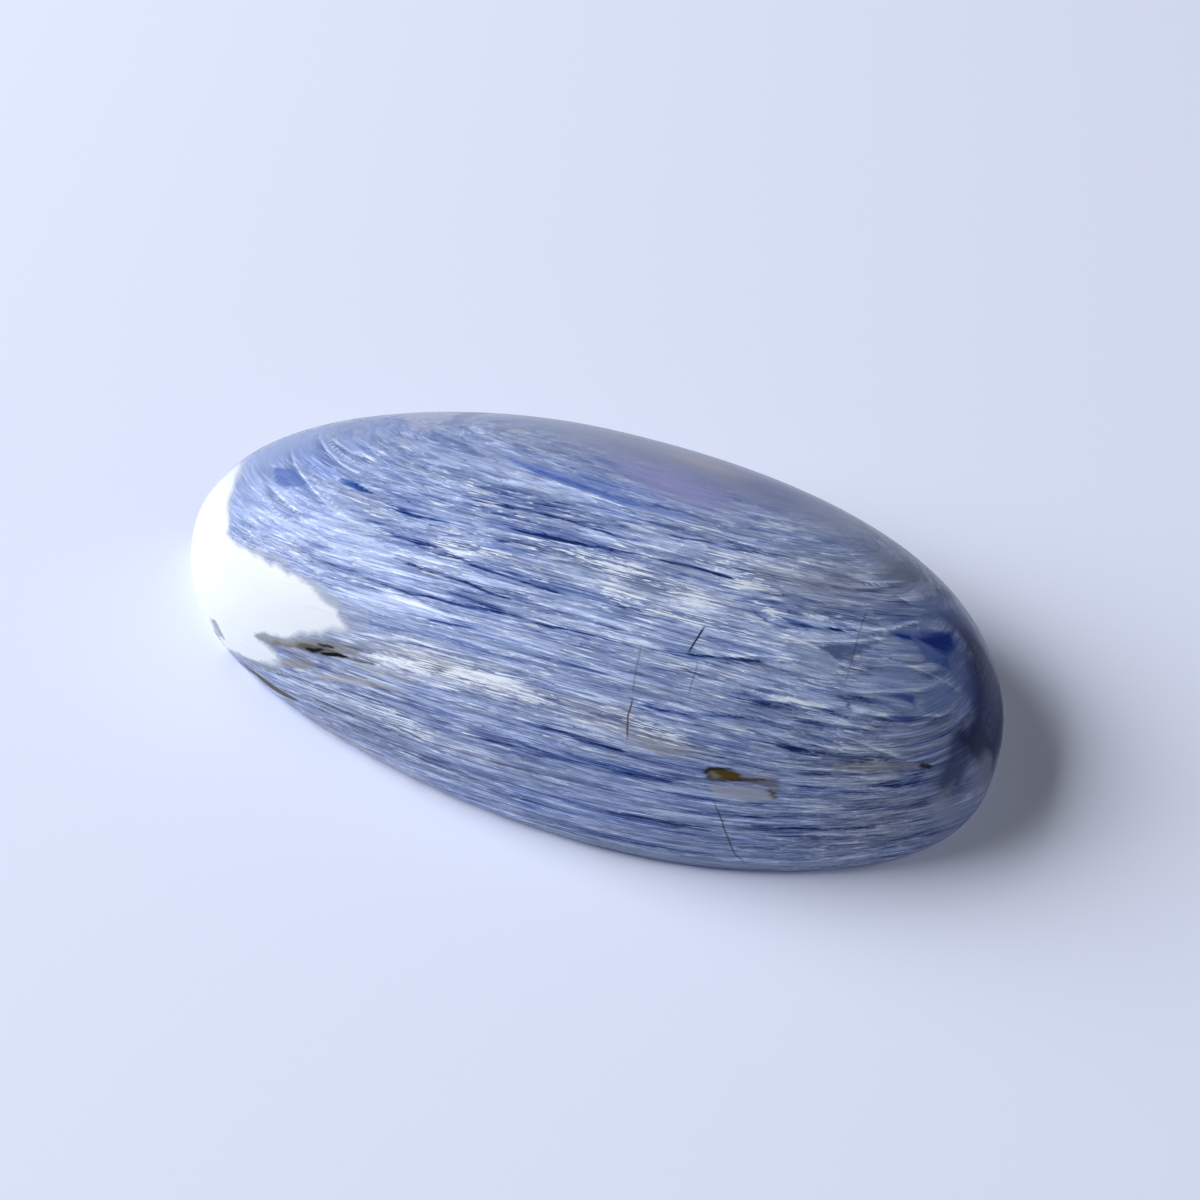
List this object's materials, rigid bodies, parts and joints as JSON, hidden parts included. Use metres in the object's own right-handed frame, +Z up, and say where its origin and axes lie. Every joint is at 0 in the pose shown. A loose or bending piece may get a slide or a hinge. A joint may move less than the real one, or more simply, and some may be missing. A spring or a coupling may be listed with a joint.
{
  "type": "kyanite cabochon",
  "caption": "Polished oval cabochon of fibrous blue kyanite with milky quartz at one end, lying on its flat base.",
  "frame": {"origin": "on the flat base, under the middle of the stone's length and width", "axes": "+X along the stone's length towards the blue end, away from the quartz end; +Y across it; +Z up out of the dome"},
  "size_m": [0.04, 0.0212, 0.0093],
  "materials": {
    "polished_kyanite": "polished, translucent, with silky white fibres; milky white quartz at the -X end"
  },
  "bodies": {
    "root": {"cabochon": "polished_kyanite"}
  },
  "joints": []
}
